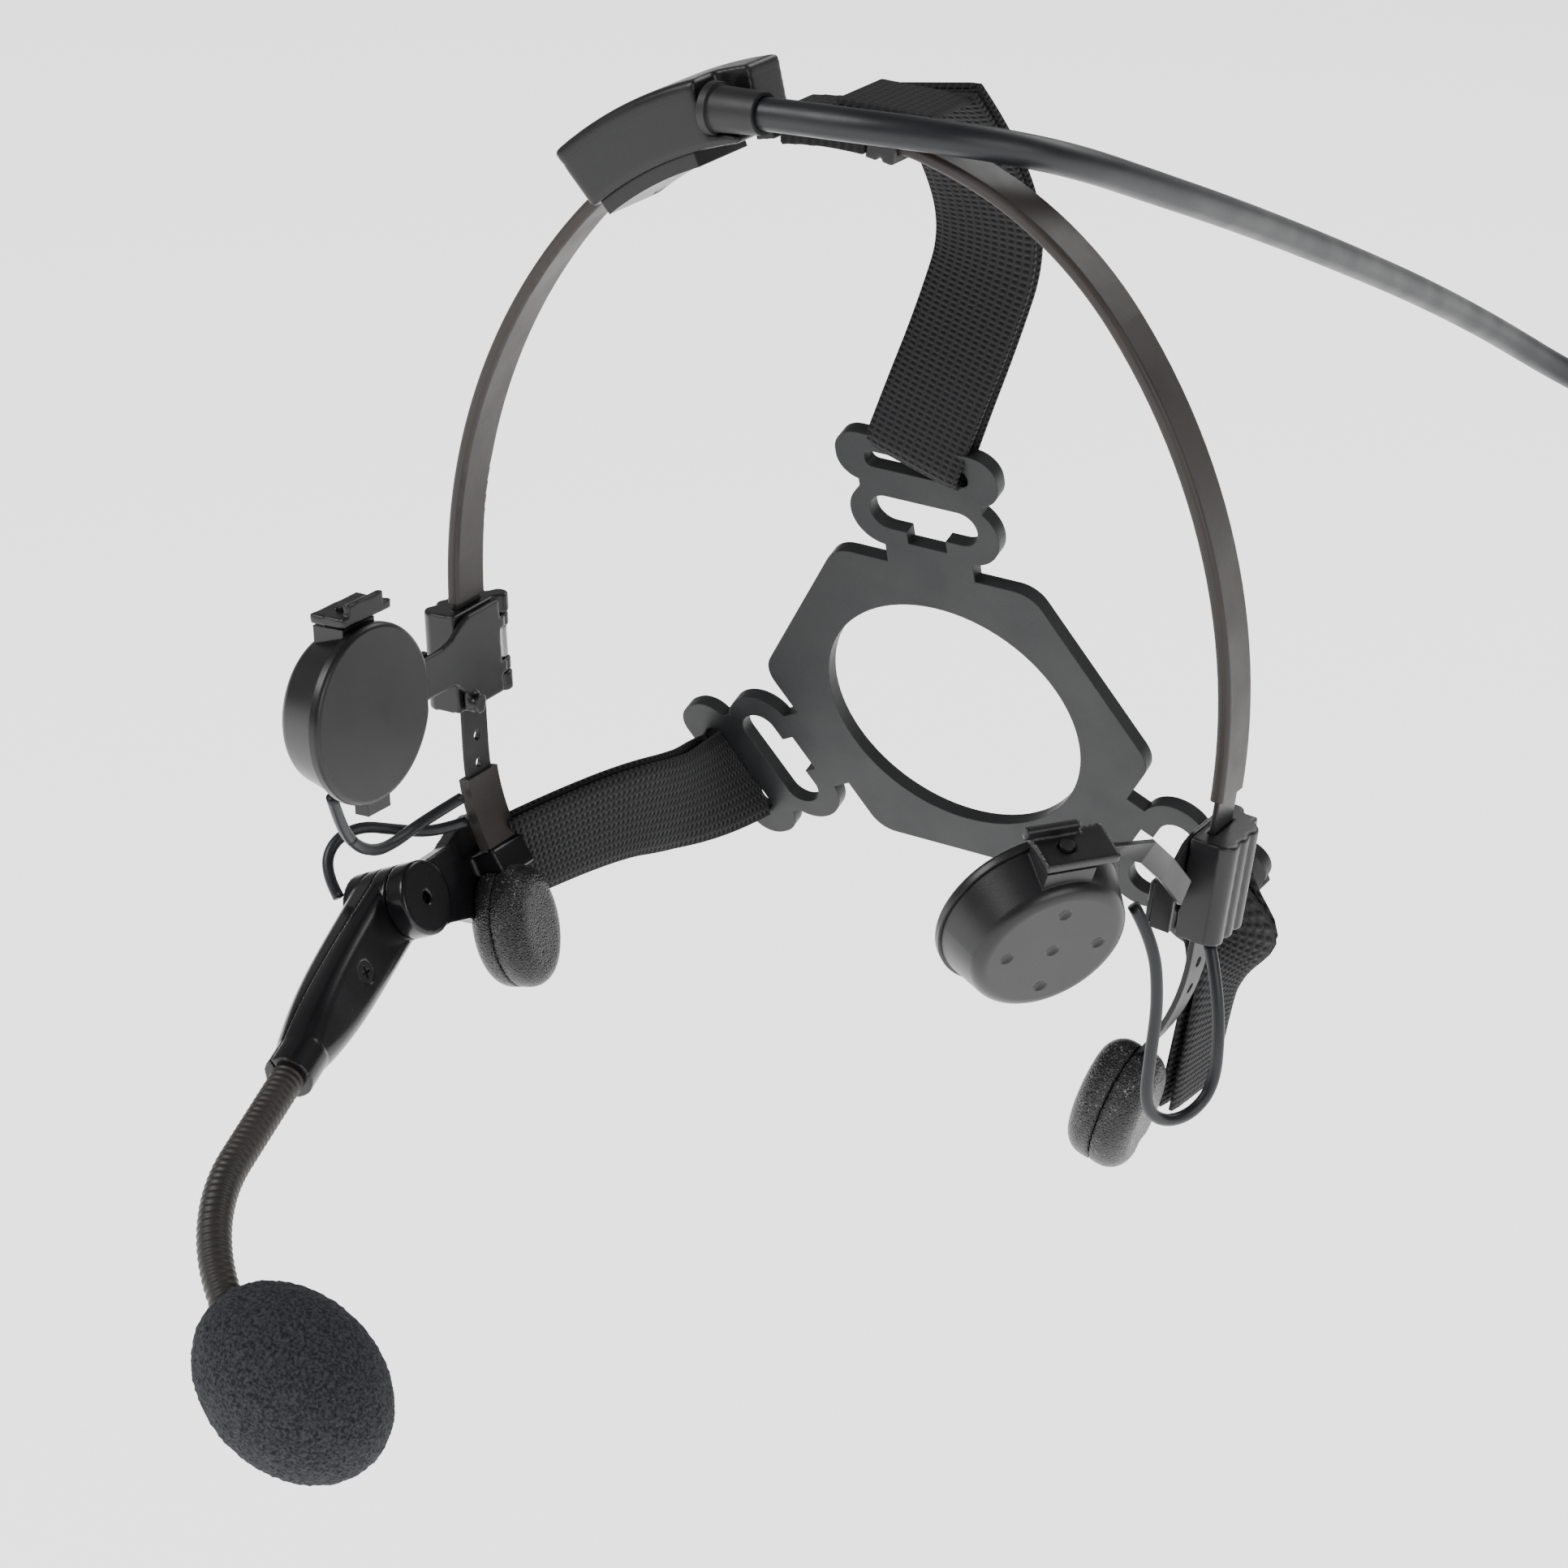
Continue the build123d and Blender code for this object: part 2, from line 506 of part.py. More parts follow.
def make_block(side):
    place = side_place(side)
    block = slab(BLOCK_X, BLOCK_Y, BLOCK_Z)
    for y in LOBE_Y:
        block += rod((BLOCK_X[1] - 0.6, y, BLOCK_Z[0]), (BLOCK_X[1] - 0.6, y, BLOCK_Z[1]), LOBE_RADIUS)
    for low, high in ((BLOCK_Z[0], BLOCK_Z[0] + 3.6), (BLOCK_Z[1] - 3.6, BLOCK_Z[1])):
        lug = rod((*PIN_AT, low), (*PIN_AT, high), LUG_RADIUS)
        block += lug + slab((PIN_AT[0], BLOCK_X[1]), (BLOCK_Y[1] - 1, PIN_AT[1]), (low, high))
    gap = 0.12
    channel = slab(
        (-STRIP_THICKNESS / 2 - gap, STRIP_THICKNESS / 2 + gap),
        (-STRIP_WIDTH / 2 - gap, STRIP_WIDTH / 2 + gap),
        (BLOCK_Z[0] - 1, BLOCK_Z[1] + 1),
    )
    pin = rod((*PIN_AT, BLOCK_Z[0] + 0.4), (*PIN_AT, BLOCK_Z[1] - 0.4), PIN_RADIUS)
    save(f"{side}_slider_block", place(block - channel - pin))
    save(f"{side}_hinge_pin", place(pin))
    coil_z = (BLOCK_Z[0] + 6.6, BLOCK_Z[1] - 6.6)
    coil = rod((*PIN_AT, coil_z[0]), (*PIN_AT, coil_z[1]), 1.5) - rod((*PIN_AT, -20), (*PIN_AT, 20), 1.1)
    save(f"{side}_hinge_spring", place(coil))


def plate_outline(reach):
    """Edge of the door plate in the plane of its face: (y, z) points."""
    hinge_y = PIN_AT[1] - 2.4
    low, high = BLOCK_Z[0] + 0.4, BLOCK_Z[1] - 0.4
    return Polyline(
        (hinge_y, high), (-4.6, high), (-7.8, 4.4), (-10.5, 2.6), (-13.5, 2.0), (reach, 2.0),
        (reach, -6.0), (-10.0, -6.4), (-6.5, -9.0), (-6.5, low), (hinge_y, low), close=True,
    )


def make_plate(reach):
    """Door plate with two knuckles round the pin and a latch boss."""
    side_plane = Plane(origin=(PLATE_X[0], 0, 0), x_dir=(0, 1, 0), z_dir=(1, 0, 0))
    plate = extrude(side_plane * make_face(plate_outline(reach)), amount=PLATE_X[1] - PLATE_X[0])
    clearance = 0.3
    low, high = BLOCK_Z[0] + 3.6 + clearance, BLOCK_Z[1] - 3.6 - clearance
    for start, end in ((low, low + KNUCKLE_LENGTH), (high - KNUCKLE_LENGTH, high)):
        plate += rod((*PIN_AT, start), (*PIN_AT, end), 1.9)
        plate += slab(PLATE_X, (4.0, PIN_AT[1] - 1.0), (start, end))
    for start, end in ((BLOCK_Z[0] - 1, low), (high, BLOCK_Z[1] + 1)):
        plate -= rod((*PIN_AT, start), (*PIN_AT, end), LUG_RADIUS + clearance)
    bore = rod((*PIN_AT, -30), (*PIN_AT, 30), PIN_RADIUS + FIT)
    spring_room = rod((*PIN_AT, low + KNUCKLE_LENGTH), (*PIN_AT, high - KNUCKLE_LENGTH), 1.9)
    boss = rod((PLATE_X[0] - 1.6, -4.6, -11.4), (PLATE_X[0], -4.6, -11.4), 1.9)
    return plate - bore - spring_room + boss


def make_arm(side):
    """Door plate with its bracket and screw; returns the bracket in place."""
    place = side_place(side)
    reach = REACH[side]
    inner, outer = PLATE_X[1], PLATE_X[1] + 1.0
    bracket = slab((inner, outer), (reach, reach + 7.0), (-6.5, 2.5))
    bracket += slab((inner, inner + 3.6), (reach, reach + 1.0), (-6.5, 2.5))
    at = (reach + 4.0, -2.0)
    shank = rod((PLATE_X[0] + 0.2, *at), (outer, *at), 0.9)
    head = rod((outer, *at), (outer + 1.2, *at), 1.9)
    socket = rod((outer + 0.4, *at), (outer + 2, *at), 0.7)
    save(f"{side}_arm_plate", place(make_plate(reach) - shank))
    save(f"{side}_arm_bracket", place(bracket - shank))
    save(f"{side}_arm_screw", place(shank + head - socket))
    return place(bracket)


def ear_to_world(side, u, v, w):
    plane = EAR_PLANES[side]
    return plane.from_local_coords(Vector(u, v, w))


def make_arm_strip(side, bracket):
    rear = 1 if side == "left" else -1
    clip_rear = ear_to_world(side, rear * 5.5, 18.0, STUD_DEPTH)
    if side == "left":
        points = [(-78.4, -20.6, -0.6), (-80.0, -28.0, 4.0), (-80.4, -34.0, 12.0), tuple(clip_rear)]
        across = [(0, 0, 1), (0, -0.5, 0.8), (0, -0.8, 0.5), (1, 0, 0.2)]
    else:
        points = [(77.9, -16.6, -4.6), (77.4, -24.0, 2.5), (77.0, -31.5, 8.5), tuple(clip_rear)]
        across = [(0, 0.2, 1), (0.1, 0.4, 1), (0.4, 0.3, 1), (0.8, -0.5, 0.4)]
    strip = ribbon(list(zip(points, across)), (4.6, 4.4, 4.4, 4.2), (0.8, 0.8, 0.8, 0.8))
    return strip - bracket


def make_cover(rear, tab):
    """Front cover of an earphone, with a flat towards the rear and a latch tab below."""
    cover = Pos(0, 0, -COVER_THICKNESS / 2) * Cylinder(COVER_RADIUS, COVER_THICKNESS)
    cover = fillet(cover.edges().group_by(Axis.Z)[-1], 1.0)
    return cover - ear_flat(rear) + tab


def ear_flat(rear):
    """Everything beyond the flat on the rear of an earphone."""
    return slab(sorted((rear * EAR_FLAT, rear * (EAR_FLAT + 10))), (-30, 30), (-20, 5))


def make_shell(rear, tab):
    """Tapered cup of an earphone with its saddle, its swivel stud and five dimples."""
    back = -COVER_THICKNESS - SHELL_DEPTH
    outer = Pos(0, 0, (back - COVER_THICKNESS) / 2) * Cone(SHELL_RADII[1], SHELL_RADII[0], SHELL_DEPTH)
    outer = fillet(outer.edges().group_by(Axis.Z)[0], 2.4)
    depth = SHELL_DEPTH - SHELL_WALL
    inner = Cone(SHELL_RADII[1] - 2, SHELL_RADII[0] - SHELL_WALL, depth)
    inner = Pos(0, 0, -COVER_THICKNESS - depth / 2) * inner
    saddle = slab((-4.5, 4.5), (12.5, 16.7), (-9.0, -2.4)) - inner
    stud = rod((0, 16.0, STUD_DEPTH), (0, 19.6, STUD_DEPTH), STUD_RADIUS)
    places = ((0, 0), (8.5, 0), (-8.5, 0), (0, 8.5), (0, -8.5))
    dimples = [Pos(x, y, back - 1.3) * Sphere(1.8) for x, y in places]
    flat = ear_flat(rear)
    cavity = inner - Pos(-rear * SHELL_WALL, 0, 0) * flat
    return outer - flat - cavity + saddle + stud - dimples - tab


def make_clip(rear):
    """Clip that carries the swivel stud at the end of the arm's strip."""
    clip = slab(sorted((-rear * 5.0, rear * 8.5)), (17.1, 18.9), (-9.2, -1.6))
    clip += slab((-3.5, 6.5), (18.9, 21.0), (-3.0, -1.6))
    return clip - rod((0, 10, STUD_DEPTH), (0, 30, STUD_DEPTH), STUD_RADIUS + FIT)


def make_ear(side, bracket):
    plane = EAR_PLANES[side]
    rear = 1 if side == "left" else -1
    tab = slab((-3.2, 3.2), (-18.4, -15.0), (-3.6, -0.6))
    clip = plane * make_clip(rear)
    save(f"{side}_ear_shell", biggest(plane * make_shell(rear, tab)))
    save(f"{side}_ear_cover", biggest(plane * make_cover(rear, tab)))
    save(f"{side}_ear_driver", plane * (Pos(0, 0, -COVER_THICKNESS - 1.6) * Cylinder(11.5, 3.2)))
    save(f"{side}_ear_clip", clip)
    save(f"{side}_arm_strip", biggest(make_arm_strip(side, bracket) - clip))


# Cords, hank and plug

def make_cords():
    save("main_cable", cord(CABLE_POINTS, CABLE_DIAMETER, "main_cable"))
    save("left_ear_lead", cord(LEFT_LEAD, LEAD_DIAMETER, "left_ear_lead"))
    save("right_ear_lead", cord(RIGHT_LEAD, LEAD_DIAMETER, "right_ear_lead"))
    save("mic_lead", cord(MIC_LEAD, LEAD_DIAMETER, "mic_lead"))


def make_hank_and_plug():
    x, y, z = HANK_CENTRE
    upright = Plane(origin=(x, y + HANK_SIZE[1] / 2, z), x_dir=(0, 0, 1), z_dir=(0, -1, 0))
    hank = extrude(upright * SlotOverall(HANK_SIZE[2], HANK_SIZE[0]), amount=HANK_SIZE[1])
    tie_hole = slab((x - HANK_SIZE[0] / 2, x + HANK_SIZE[0] / 2), (y - 12, y + 12), (z - 5, z + 5))
    tie = slab((x - 22.0, x + 22.0), (y - 13.5, y + 13.5), (z - 5, z + 5)) - tie_hole
    save("cable_hank", hank)
    save("cable_tie", tie)
    bottom = z - HANK_SIZE[2] / 2
    save("cable_tail", rod((x, y, bottom), (x, y, bottom - TAIL_LENGTH), CABLE_DIAMETER / 2))
    top = bottom - TAIL_LENGTH
    boot = loft([Plane(origin=(x, y, top)) * Circle(4.2), Plane(origin=(x, y, top - 14)) * Circle(6.4)])
    barrel = rod((x, y, top - 14), (x, y, top - PLUG_LENGTH), PLUG_RADIUS)
    barrel = fillet(barrel.edges().group_by(Axis.Z)[-1], 2.0)
    mouth = rod((x, y, top - PLUG_LENGTH), (x, y, top - PLUG_LENGTH + 16), 7.9)
    save("plug_shell", boot + barrel - mouth)
    face = rod((x, y, top - PLUG_LENGTH + 3), (x, y, top - PLUG_LENGTH + 16), 7.9)
    foot = top - PLUG_LENGTH
    corners = [(x + a * 3.0, y + b * 3.0) for a in (-1, 1) for b in (-1, 1)]
    sockets = [rod((*corner, foot), (*corner, foot + 12), 1.2) for corner in corners]
    save("plug_insert", face - sockets)


make_arch()
make_junction_box()
wrap_solid = make_crown_fittings()
bracket_solid = make_boom_bracket()
ring_solid = make_ring()
make_straps(ring_solid, bracket_solid, wrap_solid)
make_pads(bracket_solid)
make_boom()
make_gooseneck()
for side_name in ("left", "right"):
    make_block(side_name)
    make_ear(side_name, make_arm(side_name))
make_cords()
make_hank_and_plug()
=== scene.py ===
import json
import math

import bpy
from mathutils import Matrix, Vector


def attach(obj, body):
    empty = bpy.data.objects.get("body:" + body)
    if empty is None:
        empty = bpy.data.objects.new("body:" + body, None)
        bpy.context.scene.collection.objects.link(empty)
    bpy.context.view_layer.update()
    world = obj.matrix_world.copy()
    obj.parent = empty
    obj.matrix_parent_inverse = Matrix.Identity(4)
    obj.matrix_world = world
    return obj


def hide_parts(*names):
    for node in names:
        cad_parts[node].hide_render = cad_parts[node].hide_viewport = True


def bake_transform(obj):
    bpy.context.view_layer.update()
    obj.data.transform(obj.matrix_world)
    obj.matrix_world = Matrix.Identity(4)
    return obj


# Headset microphone, in metres: +X is the wearer's left, +Y backwards and +Z up.

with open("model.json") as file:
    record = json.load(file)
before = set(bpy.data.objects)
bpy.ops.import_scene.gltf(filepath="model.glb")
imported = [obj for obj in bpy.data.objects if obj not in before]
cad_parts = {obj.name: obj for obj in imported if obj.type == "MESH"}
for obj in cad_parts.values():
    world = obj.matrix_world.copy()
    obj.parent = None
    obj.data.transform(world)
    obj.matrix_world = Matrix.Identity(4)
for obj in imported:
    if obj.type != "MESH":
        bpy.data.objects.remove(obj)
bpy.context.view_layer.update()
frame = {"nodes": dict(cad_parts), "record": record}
SLOTS = {entry["node"]: entry["material_slot"] for entry in frame["record"]["subparts"]}

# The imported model's own plain materials make way for the ones below, which have the same names
for plain_material in list(bpy.data.materials):
    bpy.data.materials.remove(plain_material)

# Junction box: its lid joint lies at one radius round the crown
CROWN_CENTRE_Z = 0.0425
BOX_JOINT_RADIUS = 0.0755
BOX_JOINT_HALF_HEIGHT = 0.0003

# Webbing: its two layers lie a gap to each side of the centre line, and open towards the bar
WEB_WIDTH = 0.0195
WEB_THICKNESS = 0.0012
WEB_EDGE_SHARE = 0.55
WEB_COLUMNS = 8
WEB_GAP = 0.0011
WEB_GAP_GROWTH = 0.0012
WEB_TURN_STEPS = 8

# Gooseneck: bends are (radius, degrees)
NECK_START = (-0.0679, -0.0695, -0.0599)
NECK_DIRECTION = (0.170, -0.947, -0.271)
NECK_INWARD = (0.8486, 0.2807, -0.4485)
NECK_STRAIGHT = 0.022
NECK_BENDS = ((0.038, 45), (0.020, 27))
NECK_STEP = 0.0002
NECK_RADIUS = 0.00298
NECK_RIB_HEIGHT = 0.00014
NECK_STEPS_PER_RIB = 7

# Camera angles in degrees, lens and sensor in millimetres
CAMERA_PLACE = (0.3449, -0.6475, 0.3146)
CAMERA_AZIMUTH = 28.622
CAMERA_ELEVATION = 23.942
CAMERA_ROLL = 2.633
CAMERA_LENS = 103.1
CAMERA_SENSOR = 36.0

# Studio: lights are (name, place, size, power)
FLOOR_HALF_SIZE = 14.0
FLOOR_Z = -0.30
FLOOR_GLOW = 1.7
WORLD_STRENGTH = 0.3
LIGHTS = (
    ("key", (-0.9, -0.9, 1.1), (0.7, 0.7), 22.0),
    ("fill", (1.2, -0.5, 0.5), (0.9, 0.6), 9.0),
    ("rim", (0.2, 1.3, 0.9), (1.2, 0.5), 8.0),
)

# Cords: control points of their routes, the same as the CAD's
CABLE_DIAMETER = 0.0058
LEAD_DIAMETER = 0.0022
COIL_CENTRE = Vector((0.092, 0.262, -0.115))
COIL_HALF_WIDTH = 0.0172
COIL_HALF_RUN = 0.041
COIL_END_RISE = 0.0235
COIL_PITCH = 0.0062
COIL_TURNS = 4
TAIL_DROP = 0.0655
CABLE_ROUTE = [
    (-0.024, -0.0076, 0.1108), (-0.0102, -0.0094, 0.1123), (0.0039, -0.0106, 0.1134),
    (0.0174, -0.0078, 0.1134), (0.0286, 0.0, 0.1116), (0.0358, 0.0124, 0.1074),
    (0.0397, 0.034, 0.0988), (0.041, 0.062, 0.0881), (0.0415, 0.092, 0.0763),
    (0.0418, 0.122, 0.0642), (0.0423, 0.152, 0.0518), (0.0429, 0.18, 0.0396),
    (0.044, 0.205, 0.028), (0.049, 0.232, 0.0135), (0.0625, 0.253, 0.0005), (0.080, 0.2575, -0.012),
    (0.0905, 0.2545, -0.030),
]
LEFT_LEAD = [
    (-0.0726, -0.0494, -0.0138), (-0.0731, -0.0458, -0.0214), (-0.074, -0.0394, -0.0278),
    (-0.0752, -0.0314, -0.032), (-0.0765, -0.0234, -0.0336), (-0.0766, -0.0148, -0.0328),
    (-0.0734, -0.0062, -0.0302),
]
RIGHT_LEAD = [
    (0.0726, -0.0252, -0.005), (0.0762, -0.0236, -0.0115), (0.0775, -0.0228, -0.0225),
    (0.077, -0.023, -0.033), (0.0766, -0.023, -0.0426), (0.0786, -0.0191, -0.047),
    (0.0815, -0.0135, -0.047), (0.0835, -0.0095, -0.0426), (0.0833, -0.0088, -0.033),
    (0.0812, -0.007, -0.0245), (0.0784, -0.0048, -0.0188),
]
MIC_LEAD = [
    (-0.083, -0.0322, -0.0432), (-0.087, -0.031, -0.0394), (-0.0879, -0.0272, -0.035),
    (-0.0852, -0.0222, -0.033), (-0.081, -0.017, -0.0346), (-0.0764, -0.0108, -0.0364),
    (-0.0726, -0.0058, -0.035),
]

# Straps: stations of (place, direction across the webbing)
TOP_STRAP = [
    ((0.0055, 0.0156, 0.114), (1, 0, 0)), ((0.009, 0.024, 0.103), (1, 0, 0)),
    ((0.0115, 0.0315, 0.0855), (1, 0, 0)), ((0.007, 0.0315, 0.0685), (1, 0, 0)),
    ((0.0025, 0.0295, 0.0525), (1, 0, 0)), ((0.0, 0.0289, 0.0435), (1, 0, 0)),
]
LEFT_STRAP = [
    ((-0.0693, 0.0065, -0.046), (0.2, 0, 1)), ((-0.0585, 0.022, -0.040), (0.1, 0, 1)),
    ((-0.053, 0.043, -0.0430), (0, -0.1, 1)), ((-0.0522, 0.0618, -0.0445), (-0.5, -0.31, 0.81)),
]
RIGHT_STRAP = [
    ((0.0522, 0.0618, -0.0440), (0.5, -0.31, 0.81)), ((0.058, 0.046, -0.031), (0.1, -0.2, 0.97)),
    ((0.066, 0.031, -0.024), (0, 0.25, 0.97)), ((0.070, 0.021, -0.031), (0, 0.8, 0.6)),
    ((0.0705, 0.0146, -0.043), (0, 1, 0.1)), ((0.069, 0.0134, -0.058), (0, 1, 0)),
]


# Shader helpers

def new_material(name, colour, roughness, metallic=0.0):
    """Material with a plain base; returns it with its node tree and main shader."""
    material = bpy.data.materials.new(name)
    material.use_nodes = True
    shader = material.node_tree.nodes["Principled BSDF"]
    shader.inputs["Base Color"].default_value = (*colour, 1.0)
    shader.inputs["Roughness"].default_value = roughness
    shader.inputs["Metallic"].default_value = metallic
    shader.inputs["Specular IOR Level"].default_value = 0.35
    return material, material.node_tree, shader


def add(tree, kind, **settings):
    """Adds one shader node and sets its numbers."""
    node = tree.nodes.new(kind)
    for key, value in settings.items():
        node.inputs[key].default_value = value
    return node


def position(tree, scale):
    """Place on the object, in its own metres, times a scale."""
    source = tree.nodes.new("ShaderNodeTexCoord")
    mapping = add(tree, "ShaderNodeMapping", Scale=(scale, scale, scale))
    tree.links.new(source.outputs["Object"], mapping.inputs["Vector"])
    return mapping.outputs["Vector"]


def noise(tree, scale, detail=4.0):
    texture = add(tree, "ShaderNodeTexNoise", Scale=1.0, Detail=detail)
    tree.links.new(position(tree, scale), texture.inputs["Vector"])
    return texture.outputs[0]


def spread(tree, factor, low, high):
    """Maps a 0.3..0.7 factor to a range."""
    node = add(tree, "ShaderNodeMapRange")
    node.inputs["From Min"].default_value = 0.3
    node.inputs["From Max"].default_value = 0.7
    node.inputs["To Min"].default_value = low
    node.inputs["To Max"].default_value = high
    tree.links.new(factor, node.inputs["Value"])
    return node.outputs["Result"]


def rounded(tree, radius=0.00035):
    """Normal that rounds off hard edges."""
    return add(tree, "ShaderNodeBevel", Radius=radius).outputs["Normal"]


def bump(tree, shader, height, strength, distance):
    node = add(tree, "ShaderNodeBump", Strength=strength, Distance=distance)
    tree.links.new(rounded(tree), node.inputs["Normal"])
    tree.links.new(height, node.inputs["Height"])
    tree.links.new(node.outputs["Normal"], shader.inputs["Normal"])


def tint(tree, shader, factor, dark, light):
    """Blends the base colour between two tones."""
    ramp = tree.nodes.new("ShaderNodeValToRGB")
    ramp.color_ramp.elements[0].position = 0.35
    ramp.color_ramp.elements[0].color = (*dark, 1.0)
    ramp.color_ramp.elements[1].position = 0.65
    ramp.color_ramp.elements[1].color = (*light, 1.0)
    tree.links.new(factor, ramp.inputs["Fac"])
    tree.links.new(ramp.outputs["Color"], shader.inputs["Base Color"])


def plastic(name, colour, roughness, grain_scale=2500.0, grain=0.12, metallic=0.0):
    """Moulded plastic, rubber or coated metal with a fine grain and uneven gloss."""
    material, tree, shader = new_material(name, colour, roughness, metallic)
    patches = noise(tree, 90.0)
    gloss = spread(tree, patches, roughness * 0.85, min(1.0, roughness * 1.15))
    tree.links.new(gloss, shader.inputs["Roughness"])
    tint(tree, shader, patches, [c * 0.9 for c in colour], [c * 1.12 for c in colour])
    bump(tree, shader, noise(tree, grain_scale), grain, 0.0001)
    return material


def box_material(name):
    """Moulded plastic with a thin dark joint between box and lid, at one radius round the crown."""
    material = plastic(name, (0.007, 0.007, 0.008), 0.34)
    tree = material.node_tree
    shader = tree.nodes["Principled BSDF"]
    source = tree.nodes.new("ShaderNodeTexCoord")
    mapping = add(tree, "ShaderNodeMapping", Location=(0, 0, -CROWN_CENTRE_Z), Scale=(1, 0, 1))
    tree.links.new(source.outputs["Object"], mapping.inputs["Vector"])
    length = add(tree, "ShaderNodeVectorMath")
    length.operation = "LENGTH"
    tree.links.new(mapping.outputs["Vector"], length.inputs[0])
    joint = add(tree, "ShaderNodeMath")
    joint.operation = "COMPARE"
    joint.inputs[1].default_value = BOX_JOINT_RADIUS
    joint.inputs[2].default_value = BOX_JOINT_HALF_HEIGHT
    tree.links.new(length.outputs["Value"], joint.inputs[0])
    bump_node = shader.inputs["Normal"].links[0].from_node
    groove = add(tree, "ShaderNodeBump", Strength=1.0, Distance=-0.0004)
    tree.links.new(joint.outputs[0], groove.inputs["Height"])
    tree.links.new(bump_node.outputs["Normal"], groove.inputs["Normal"])
    tree.links.new(groove.outputs["Normal"], shader.inputs["Normal"])
    return material


def leather(name, colour):
    material, tree, shader = new_material(name, colour, 0.3)
    cells = add(tree, "ShaderNodeTexVoronoi", Scale=1.0)
    cells.feature = "DISTANCE_TO_EDGE"
    tree.links.new(position(tree, 1900.0), cells.inputs["Vector"])
    bump(tree, shader, cells.outputs["Distance"], 0.9, 0.0005)
    return material


def foam_material(name):
    material, tree, shader = new_material(name, (0.025, 0.026, 0.033), 0.95)
    pits_and_painted_shade = noise(tree, 1700.0, 6.0)
    # The noise that pits the skin also sets its colour: painted shade darkens the pits and the raised
    # cells are lighter
    tint(tree, shader, pits_and_painted_shade, (0.005, 0.005, 0.006), (0.038, 0.040, 0.047))
    bump(tree, shader, pits_and_painted_shade, 1.0, 0.0006)
    return material


def wave(tree, source, pitch):
    """Sine of a length along one axis."""
    turn = add(tree, "ShaderNodeMath")
    turn.operation = "MULTIPLY"
    turn.inputs[1].default_value = math.tau / pitch
    tree.links.new(source, turn.inputs[0])
    sine = add(tree, "ShaderNodeMath")
    sine.operation = "SINE"
    tree.links.new(turn.outputs[0], sine.inputs[0])
    return sine.outputs[0]


def combine(tree, operation, first, second):
    node = add(tree, "ShaderNodeMath")
    node.operation = operation
    tree.links.new(first, node.inputs[0])
    tree.links.new(second, node.inputs[1])
    return node.outputs[0]


def webbing_material(name, weave_map):
    """Woven strap with ribs: along its own weave map in metres, or along X and Y."""
    material, tree, shader = new_material(name, (0.03, 0.03, 0.032), 0.85)
    if weave_map:
        source = tree.nodes.new("ShaderNodeUVMap")
        source.uv_map = "weave"
        place = source.outputs["UV"]
    else:
        place = position(tree, 1.0)
    split = tree.nodes.new("ShaderNodeSeparateXYZ")
    tree.links.new(place, split.inputs["Vector"])
    across = wave(tree, split.outputs["X"], 0.0016)
    along = wave(tree, split.outputs["Y"], 0.0011)
    height = combine(tree, "ADD", combine(tree, "MULTIPLY", across, along), along)
    # Colour follows the weave's height: painted shade darkens the valleys between the ribs and their
    # crests are lighter
    painted_weave_shade = add(tree, "ShaderNodeMapRange")
    painted_weave_shade.inputs["From Min"].default_value = -2.0
    painted_weave_shade.inputs["From Max"].default_value = 2.0
    tree.links.new(height, painted_weave_shade.inputs["Value"])
    tint(tree, shader, painted_weave_shade.outputs["Result"], (0.004, 0.004, 0.0045), (0.024, 0.024, 0.026))
    bump(tree, shader, height, 0.9, 0.00025)
    return material


MATERIALS = {
    "moulded_black": plastic("moulded_black", (0.007, 0.007, 0.008), 0.34),
    "box_shell": box_material("box_shell"),
    "boom_black": plastic("boom_black", (0.005, 0.005, 0.006), 0.25, grain=0.05),
    "spring_strip": plastic("spring_strip", (0.02, 0.02, 0.021), 0.42, metallic=0.5),
    "heat_shrink": plastic("heat_shrink", (0.022, 0.018, 0.016), 0.48, 1200.0, 0.2),
    "ring_plastic": plastic("ring_plastic", (0.008, 0.0085, 0.0095), 0.5, 3000.0, 0.2),
    "webbing": webbing_material("webbing", True),
    "webbing_wrap": webbing_material("webbing_wrap", False),
    "leather_pad": leather("leather_pad", (0.008, 0.008, 0.009)),
    "foam": foam_material("foam"),
    "cable_rubber": plastic("cable_rubber", (0.008, 0.009, 0.011), 0.42, 1500.0, 0.1),
    "soft_rubber": plastic("soft_rubber", (0.010, 0.010, 0.011), 0.5),
    "dark_steel": plastic("dark_steel", (0.012, 0.012, 0.013), 0.35, metallic=0.4),
    "bright_steel": plastic("bright_steel", (0.3, 0.3, 0.31), 0.3, metallic=1.0),
    "gooseneck_jacket": plastic("gooseneck_jacket", (0.022, 0.019, 0.017), 0.5),
    "circuit_board": plastic("circuit_board", (0.02, 0.09, 0.04), 0.5),
    "tie_fabric": plastic("tie_fabric", (0.012, 0.012, 0.012), 0.9, 2500.0, 0.8),
}


def finish_piece(piece, slot, body, *nodes):
    """Gives a mesh piece its material and body, and hides the CAD nodes it stands for."""
    piece.data.materials.clear()
    piece.data.materials.append(MATERIALS[slot])
    if nodes:
        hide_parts(*nodes)
    if body:
        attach(piece, body)
    return piece


def smooth(piece):
    for polygon in piece.data.polygons:
        polygon.use_smooth = True


def mesh_piece(name, vertices, faces):
    mesh = bpy.data.meshes.new(name)
    mesh.from_pydata([tuple(v) for v in vertices], [], faces)
    mesh.update()
    piece = bpy.data.objects.new(name, mesh)
    bpy.context.collection.objects.link(piece)
    smooth(piece)
    return piece


# Cords

